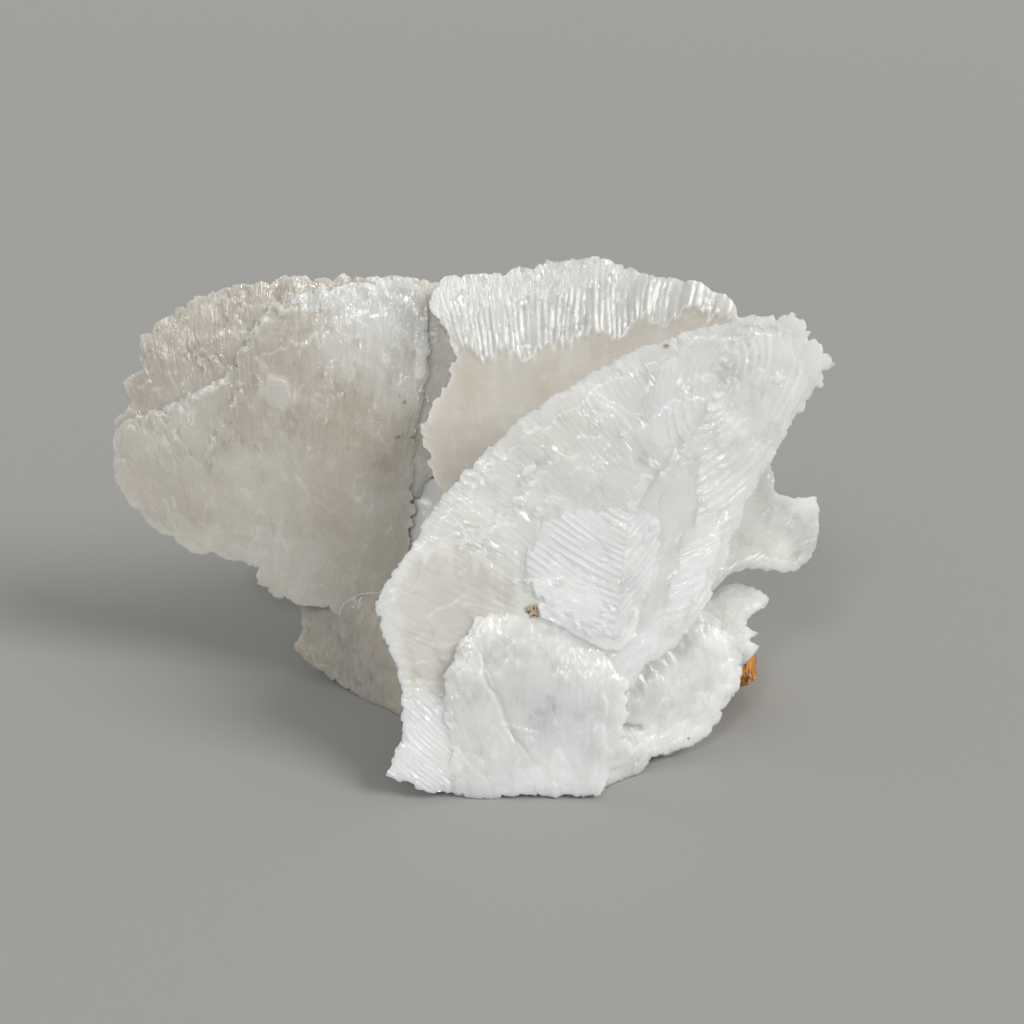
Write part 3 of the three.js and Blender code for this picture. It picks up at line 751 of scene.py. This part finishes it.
def face_of(blade, side, even, rim, share_of, edge, draw, seed):
    """One face's points (across, up, forward), triangles, striae and finish, whose frost is partly painted
    highlight and whose warmth partly painted shade.

    even is the rim before its teeth. edge is the height of this face's rim: None where the face runs flat out
    to its rim. The other face tapers to the rim, in from the even rim, with a steeper side to each tooth.
    """
    count = len(rim)
    spacing = blade["mesh"][0 if side > 0 else 1]
    inner = face_points(blade, side, rim, spacing, draw)
    flat, tris = triangulated(rim, inner)
    x, y = flat[:, 0], flat[:, 1]
    depth = depth_in(rim, flat)
    depth[:count] = 0
    thick_heart, thick_rim = blade["thick"]
    crown = CROWN if edge is None else 1.0
    half = (thick_rim + crown * (thick_heart - thick_rim) * (1 - share_of(x, y) ** 2)) / 2
    height, frost, gloss, warm = skin(blade, side, x, y, depth, seed)
    if edge is None:
        forward = side * (half + np.maximum(height, EDGE_THICK - half))
    else:
        from_even = np.where(inside(even, flat), 1, -1) * depth_in(even, flat)
        swell = rounded((from_even + 1.0) / blade.get("taper", TAPER_WIDTH)) * rounded(depth / TOOTH_SIDE)
        level = -side * (thick_rim / 2 - EDGE_THICK)
        forward = level + (side * (half + height) - level) * swell
        forward[:count] = edge
    across, along = grain_at(blade, side, x, y)
    return np.stack([x, y, forward], 1), tris, across, along, np.stack([frost, gloss, warm], 1)


def curved(blade, points):
    """The points with the blade's bend and tucks."""
    x, y = points[:, 0], points[:, 1]
    bend_across, bend_up = blade["bend"]
    forward = points[:, 2] + bend_across * (x / BEND_SPAN) ** 2 + bend_up * (y / BEND_SPAN) ** 2
    for direction, start_at, amount in blade.get("tuck", ()):
        q, _ = turned(x, y, direction)
        forward = forward - amount * np.clip(q - start_at, 0, None) ** 2
    return np.stack([x, y, forward], 1)


def blade_object(name, number):
    blade = BLADES[name]
    draw = np.random.default_rng(RIM_SEED + number)
    even, at, total = smooth_rim(blade["outline"], RIM_STEP)
    rim = ragged_rim(blade, even, at, total, draw)
    angle = np.arctan2(even[:, 1], even[:, 0])
    order = np.argsort(angle)
    angle, radius = angle[order], np.hypot(even[:, 0], even[:, 1])[order]

    def share_of(x, y):
        """How far out each point is: 0 at the heart, 1 at the rim."""
        return np.clip(np.hypot(x, y) / np.interp(np.arctan2(y, x), angle, radius, period=2 * math.pi), 0, 1)

    count = len(rim)
    best = blade.get("best", 1)
    seed = FACE_SEED * number
    fine = face_of(blade, best, even, rim, share_of, None, draw, seed)
    edge = fine[0][:count, 2] - best * EDGE_THICK
    plain = face_of(blade, -best, even, rim, share_of, edge, draw, seed + PLAIN_FACE_SEED)
    front, back = (fine, plain) if best > 0 else (plain, fine)
    start = len(front[0])
    faces = np.vstack([front[1], back[1][:, ::-1] + start, faces_between(0, start, count)])
    local = np.vstack([front[0], back[0]])
    world = (curved(blade, local) @ np.stack(frame_of(blade), 0) + np.array(blade["heart"]) - SEAT) * MM
    mesh = bpy.data.meshes.new(name)
    mesh.from_pydata(world.tolist(), [], faces.tolist())
    number_of = np.concatenate([np.full(start, 10.0 * number + 1), np.full(len(back[0]), 10.0 * number - 1)])
    grain = np.stack([np.hstack([front[2], back[2]]), np.hstack([front[3], back[3]]), number_of], 1)
    # The finish carries frost, gloss and warmth: the frost partly painted highlight, the warmth partly
    # painted shade.
    for label, values in (("grain", grain), ("finish_and_painted_light", np.vstack([front[4], back[4]]))):
        attribute = mesh.attributes.new(label, "FLOAT_VECTOR", "POINT")
        attribute.data.foreach_set("vector", values.astype(np.float32).ravel())
    spots = mesh.attributes.new("dirt", "FLOAT", "POINT")
    spots.data.foreach_set("value", dirt_on(blade, local, start).astype(np.float32))
    return placed(name, mesh)


def floor_block():
    """Everything under the flat cut that the cluster rests on."""
    h = CUT_SIZE / 2
    corners = [(x, y, z) for z in (-h, 0) for y in (-h, h) for x in (-h, h)]
    sides = [(0, 2, 3, 1), (4, 5, 7, 6), (0, 1, 5, 4), (2, 6, 7, 3), (0, 4, 6, 2), (1, 3, 7, 5)]
    mesh = bpy.data.meshes.new("below_floor")
    mesh.from_pydata(corners, [], sides)
    return placed("below_floor", mesh)


def joined(target, others, operation):
    """target's mesh after a boolean with the others."""
    holder = bpy.data.collections.new("operands")
    for other in others:
        holder.objects.link(other)
    step = target.modifiers.new("join", "BOOLEAN")
    step.operation = operation
    step.solver = "MANIFOLD"
    step.operand_type = "COLLECTION"
    step.collection = holder
    graph = bpy.context.evaluated_depsgraph_get()
    mesh = bpy.data.meshes.new_from_object(target.evaluated_get(graph))
    target.modifiers.clear()
    target.data = mesh
    bpy.data.collections.remove(holder)


def group_piece(name, members):
    """The blades grown into one mesh, cut flat at the floor and kept inside the CAD model's box."""
    blades = [blade_object(member, list(BLADES).index(member) + 1) for member in members]
    whole = blades[0]
    joined(whole, blades[1:], "UNION")
    block = floor_block()
    joined(whole, [block], "DIFFERENCE")
    for other in blades[1:] + [block]:
        bpy.data.objects.remove(other)
    places = np.empty(len(whole.data.vertices) * 3)
    whole.data.vertices.foreach_get("co", places)
    low, high = np.array(CAD_BOX[0]) + BOX_MARGIN, np.array(CAD_BOX[1]) - BOX_MARGIN
    places = np.clip(places.reshape(-1, 3), low, high)
    places[:, 2] = np.where(places[:, 2] <= BOX_MARGIN, 0, places[:, 2])
    whole.data.vertices.foreach_set("co", places.ravel())
    whole.name = name
    whole.data.name = name
    whole.data.shade_smooth()
    whole.data.set_sharp_from_angle(angle=math.radians(SHARP_ANGLE))
    return whole


# ------ the lump of matrix

def lump_height(place):
    """How far the lump's skin stands off at a place: broad swells, split layers, grains and pits."""
    swell = 0.7 * fractal(place / 4.0, 1.0, 2.0, 3)
    upright = Vector((place.x / 0.9, place.y / 0.9, place.z / 5.0))
    layers = 0.55 * fractal(upright, 0.9, 2.0, 3)
    grains = 0.2 * fractal(place / 0.6, 0.8, 2.0, 3)
    pits = max(0.0, 0.35 - voronoi(place / 1.6)[0][0])
    return swell + layers + grains - 1.1 * pits


def lump_object():
    """The lump: a squarish ball, rough all over, and kept inside the CAD lump's own box."""
    shell = bmesh.new()
    bmesh.ops.create_icosphere(shell, subdivisions=LUMP["detail"], radius=1)
    middle = Vector(LUMP["middle"]) - Vector(SEAT.tolist())
    for vertex in shell.verts:
        way = vertex.co.normalized()
        square = Vector([math.copysign(abs(c) ** LUMP["squareness"], c) for c in way])
        place = Vector([c * h for c, h in zip(square, LUMP["half_sizes"])])
        place += way * (lump_height(place) - LUMP["sunk"])
        place.rotate(Euler((math.radians(LUMP["tilt"]), 0, 0)))
        vertex.co = Vector([
            min(max(c, low), high) for c, low, high in zip(place + middle, *LUMP_BOX)]) * MM
    mesh = bpy.data.meshes.new("iron_stained_lump")
    shell.to_mesh(mesh)
    shell.free()
    mesh.shade_smooth()
    return placed("iron_stained_lump", mesh)


# ------ materials

class Nodes:
    """Short ways to add the shader nodes that the materials here use."""

    def __init__(self, name):
        self.material = bpy.data.materials.new(name)
        self.material.use_nodes = True
        self.tree = self.material.node_tree
        self.tree.nodes.clear()
        self.shader = self.new("ShaderNodeBsdfPrincipled")
        out = self.new("ShaderNodeOutputMaterial")
        self.tree.links.new(self.shader.outputs[0], out.inputs[0])

    def new(self, kind, **inputs):
        node = self.tree.nodes.new(kind)
        for name, value in inputs.items():
            self.put(value, node.inputs[name])
        return node

    def put(self, value, socket):
        if isinstance(value, bpy.types.NodeSocket):
            self.tree.links.new(value, socket)
        else:
            socket.default_value = value

    def attribute(self, name):
        node = self.new("ShaderNodeAttribute")
        node.attribute_name = name
        return node

    def math(self, operation, a, b=0.0, clamp=False):
        node = self.new("ShaderNodeMath")
        node.operation, node.use_clamp = operation, clamp
        self.put(a, node.inputs[0])
        self.put(b, node.inputs[1])
        return node.outputs[0]

    def ramp(self, value, low, high, out_low=0.0, out_high=1.0):
        node = self.new("ShaderNodeMapRange", Value=value)
        node.interpolation_type = "SMOOTHSTEP"
        for socket, number in zip(list(node.inputs)[1:5], (low, high, out_low, out_high)):
            self.put(number, socket)
        return node.outputs[0]

    def blend(self, factor, a, b):
        node = self.new("ShaderNodeMix")
        node.data_type = "RGBA"
        self.put(factor, node.inputs[0])
        for socket, colour in zip(list(node.inputs)[6:8], (a, b)):
            self.put((*colour, 1) if isinstance(colour, tuple) else colour, socket)
        return node.outputs[2]

    def stretched(self, vector, scale):
        return self.new("ShaderNodeMapping", Vector=vector, Scale=scale).outputs[0]

    def noise(self, vector, scale, detail=2.0, roughness=0.5):
        return self.new(
            "ShaderNodeTexNoise", Vector=vector, Scale=scale, Detail=detail, Roughness=roughness).outputs[0]

    def vector_math(self, operation, a, b):
        node = self.new("ShaderNodeVectorMath")
        node.operation = operation
        self.put(a, node.inputs[0])
        self.put(b, node.inputs[1])
        return node.outputs

    def facets(self, vector, scale):
        """A height that tilts each cell of a cell pattern its own way."""
        cells = self.new("ShaderNodeTexVoronoi", Vector=vector, Scale=scale)
        apart = self.vector_math("SUBTRACT", vector, cells.outputs["Position"])[0]
        lean = self.vector_math("SUBTRACT", cells.outputs["Color"], (0.5, 0.5, 0.5))[0]
        return self.vector_math("DOT_PRODUCT", apart, lean)["Value"]


# The calcite's colours, from cool to warm, and over them: clear, veiled and frosted. Then dirt.
# The cool white is partly painted cool light, the warm grey partly painted shade, and the frosted white
# partly painted highlight.
COOL_WHITE = (0.79, 0.80, 0.805)
WHITE = (0.775, 0.77, 0.74)
WARM_GREY_AND_SHADE = (0.50, 0.45, 0.375)
CLEAR_GREY = (0.42, 0.43, 0.43)
VEIL_WHITE = (0.88, 0.88, 0.87)
FROST_AND_HIGHLIGHT_WHITE = (0.92, 0.92, 0.915)
PALE_SOIL = (0.55, 0.45, 0.30)
DARK_SOIL = (0.07, 0.06, 0.04)
CALCITE_IOR = 1.66
SCATTER_RADIUS = (1.0, 0.93, 0.84)
SCATTER_SCALE = 0.004

# The matrix: iron stain in two shades, plain earth, and dark grains.
PALE_OCHRE = (0.68, 0.31, 0.075)
DEEP_OCHRE = (0.52, 0.20, 0.04)
EARTH = (0.30, 0.19, 0.11)
DARK_GRAIN = (0.10, 0.05, 0.02)


def milky_calcite():
    """Scattering white crystal, whose colour, gloss and relief follow the finish that the blades carry, with
    its painted highlight and painted shade.
    """
    n = Nodes("milky_calcite")
    shader = n.shader
    n.put(CALCITE_IOR, shader.inputs["IOR"])
    n.put(1.0, shader.inputs["Subsurface Weight"])
    n.put(SCATTER_RADIUS, shader.inputs["Subsurface Radius"])
    n.put(SCATTER_SCALE, shader.inputs["Subsurface Scale"])
    grain = n.attribute("grain").outputs["Vector"]
    finish_and_painted_light = n.new("ShaderNodeSeparateXYZ", Vector=n.attribute("finish_and_painted_light").outputs["Vector"])
    frost, gloss, warm = finish_and_painted_light.outputs
    dirt = n.attribute("dirt").outputs["Fac"]
    place = n.new("ShaderNodeTexCoord").outputs["Object"]

    cloud = n.noise(place, 70.0, 3.0)
    veil = n.noise(place, 420.0, 3.0, 0.6)
    warmth = n.math("ADD", warm, n.ramp(cloud, 0.35, 0.65, -0.06, 0.06), clamp=True)
    # From cool white to warm grey with the warmth. The warm grey is partly painted shade, on the blades that
    # lie in shade.
    cool = n.blend(n.ramp(warmth, 0.0, 0.3), COOL_WHITE, WHITE)
    body = n.blend(n.ramp(warmth, 0.3, 1.0), cool, WARM_GREY_AND_SHADE)
    clear = n.blend(n.math("MULTIPLY", frost, -0.45, clamp=True), body, CLEAR_GREY)
    pale = n.math("MULTIPLY", n.ramp(veil, 0.40, 0.75), 0.14)
    streaked = n.blend(pale, clear, VEIL_WHITE)
    # Frost whitens the colour: partly the crystal's own frosting, partly painted highlight on rims, edges,
    # crests and glints.
    whiteness = n.math("MULTIPLY", frost, n.ramp(warmth, 0.2, 1.0, 0.95, 0.62), clamp=True)
    frosted = n.blend(whiteness, streaked, FROST_AND_HIGHLIGHT_WHITE)
    specks = n.ramp(n.noise(place, 2600.0, 1.0), 0.54, 0.60)
    soil = n.blend(specks, PALE_SOIL, DARK_SOIL)
    n.put(n.blend(dirt, frosted, soil), shader.inputs["Base Color"])

    uneven = n.noise(n.stretched(grain, (1.0, 0.2, 1.0)), 0.9, 3.0)
    rough = n.math("SUBTRACT", n.ramp(uneven, 0.35, 0.65, 0.42, 0.52), n.math("MULTIPLY", gloss, 0.36))
    n.put(rough, shader.inputs["Roughness"])

    fibre = n.noise(n.stretched(grain, (1.0, 0.12, 1.0)), 1.5, 3.0, 0.6)
    hair = n.math("ABSOLUTE", n.math("SUBTRACT", fibre, 0.5))
    tilted = n.facets(n.stretched(grain, (1.0, 0.4, 1.0)), 2.0)
    sugar = n.noise(place, 1900.0, 2.0, 0.6)
    bright = n.math("ADD", n.math("MULTIPLY", gloss, 0.9), 0.1)
    glinting = n.math("MULTIPLY", bright, n.ramp(n.noise(place, 240.0, 2.0), 0.49, 0.62, 0.08, 1.2))
    raised = n.math("MULTIPLY", hair, n.math("MULTIPLY", bright, -0.3))
    raised = n.math("ADD", raised, n.math("MULTIPLY", tilted, glinting))
    raised = n.math("ADD", raised, n.math("MULTIPLY", sugar, n.ramp(frost, 0.0, 0.7, 0.03, 0.16)))
    bump = n.new("ShaderNodeBump", Height=raised, Strength=1.0, Distance=MM)
    n.put(bump.outputs[0], shader.inputs["Normal"])
    return n.material


def iron_stained_matrix():
    """Dull orange-brown rock, streaked upright and grainy."""
    n = Nodes("iron_stained_matrix")
    place = n.new("ShaderNodeTexCoord").outputs["Object"]
    streak = n.noise(n.stretched(place, (1.0, 1.0, 0.16)), 1100.0, 4.0, 0.6)
    blotch = n.noise(place, 400.0, 3.0)
    ochre = n.blend(n.ramp(blotch, 0.35, 0.65), PALE_OCHRE, DEEP_OCHRE)
    earthy = n.ramp(n.noise(place, 170.0, 3.0), 0.5, 0.62, 0.0, 0.75)
    ochre = n.blend(earthy, ochre, EARTH)
    dark = n.blend(n.ramp(streak, 0.52, 0.68), ochre, DARK_GRAIN)
    n.put(dark, n.shader.inputs["Base Color"])
    n.put(n.ramp(streak, 0.3, 0.7, 0.65, 0.9), n.shader.inputs["Roughness"])
    bump = n.new("ShaderNodeBump", Height=streak, Strength=1.0, Distance=0.4 * MM)
    n.put(bump.outputs[0], n.shader.inputs["Normal"])
    return n.material


# ------ the scene

calcite = milky_calcite()
for piece_name, members in GROUPS.items():
    piece = group_piece(piece_name, members)
    piece.data.materials.clear()
    piece.data.materials.append(calcite)
    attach(piece, "root")
    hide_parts("calcite_cluster")

lump = lump_object()
lump.data.materials.append(iron_stained_matrix())
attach(lump, "root")
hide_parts("iron_stained_grain")


def soft_sun(name, azimuth, elevation, energy, spread, colour):
    """A sun with a wide disc, whose shadows are soft."""
    light = bpy.data.lights.new(name, "SUN")
    light.energy = energy
    light.angle = math.radians(spread)
    light.color = colour
    a, e = math.radians(azimuth), math.radians(elevation)
    towards = Vector((math.sin(a) * math.cos(e), -math.cos(a) * math.cos(e), math.sin(e)))
    placed(name, light).rotation_euler = towards.to_track_quat("Z", "Y").to_euler()


for light_name, settings in LIGHTS.items():
    soft_sun(light_name, *settings)

world = bpy.data.worlds.new("studio")
bpy.context.scene.world = world
world.use_nodes = True
world.node_tree.nodes["Background"].inputs[0].default_value = STUDIO_COLOUR
world.node_tree.nodes["Background"].inputs[1].default_value = STUDIO_STRENGTH

floor_mesh = bpy.data.meshes.new("floor")
floor_mesh.from_pydata(FLOOR_CORNERS, [], [(0, 1, 2, 3)])
floor = placed("floor", floor_mesh)
paper = bpy.data.materials.new("floor_paper")
paper.use_nodes = True
paper_inputs = paper.node_tree.nodes["Principled BSDF"].inputs
paper_inputs["Base Color"].default_value = FLOOR_COLOUR
paper_inputs["Roughness"].default_value = FLOOR_ROUGHNESS
floor_mesh.materials.append(paper)

camera_data = bpy.data.cameras.new("camera")
camera_data.lens = CAMERA_LENS
camera_data.sensor_width = CAMERA_SENSOR
camera_data.clip_start = CAMERA_CLIP_START
camera = placed("camera", camera_data)
camera.location = CAMERA_PLACE
camera.rotation_euler = (math.radians(CAMERA_TURN), 0, 0)
bpy.context.scene.camera = camera
bpy.context.scene.view_settings.view_transform = "Standard"
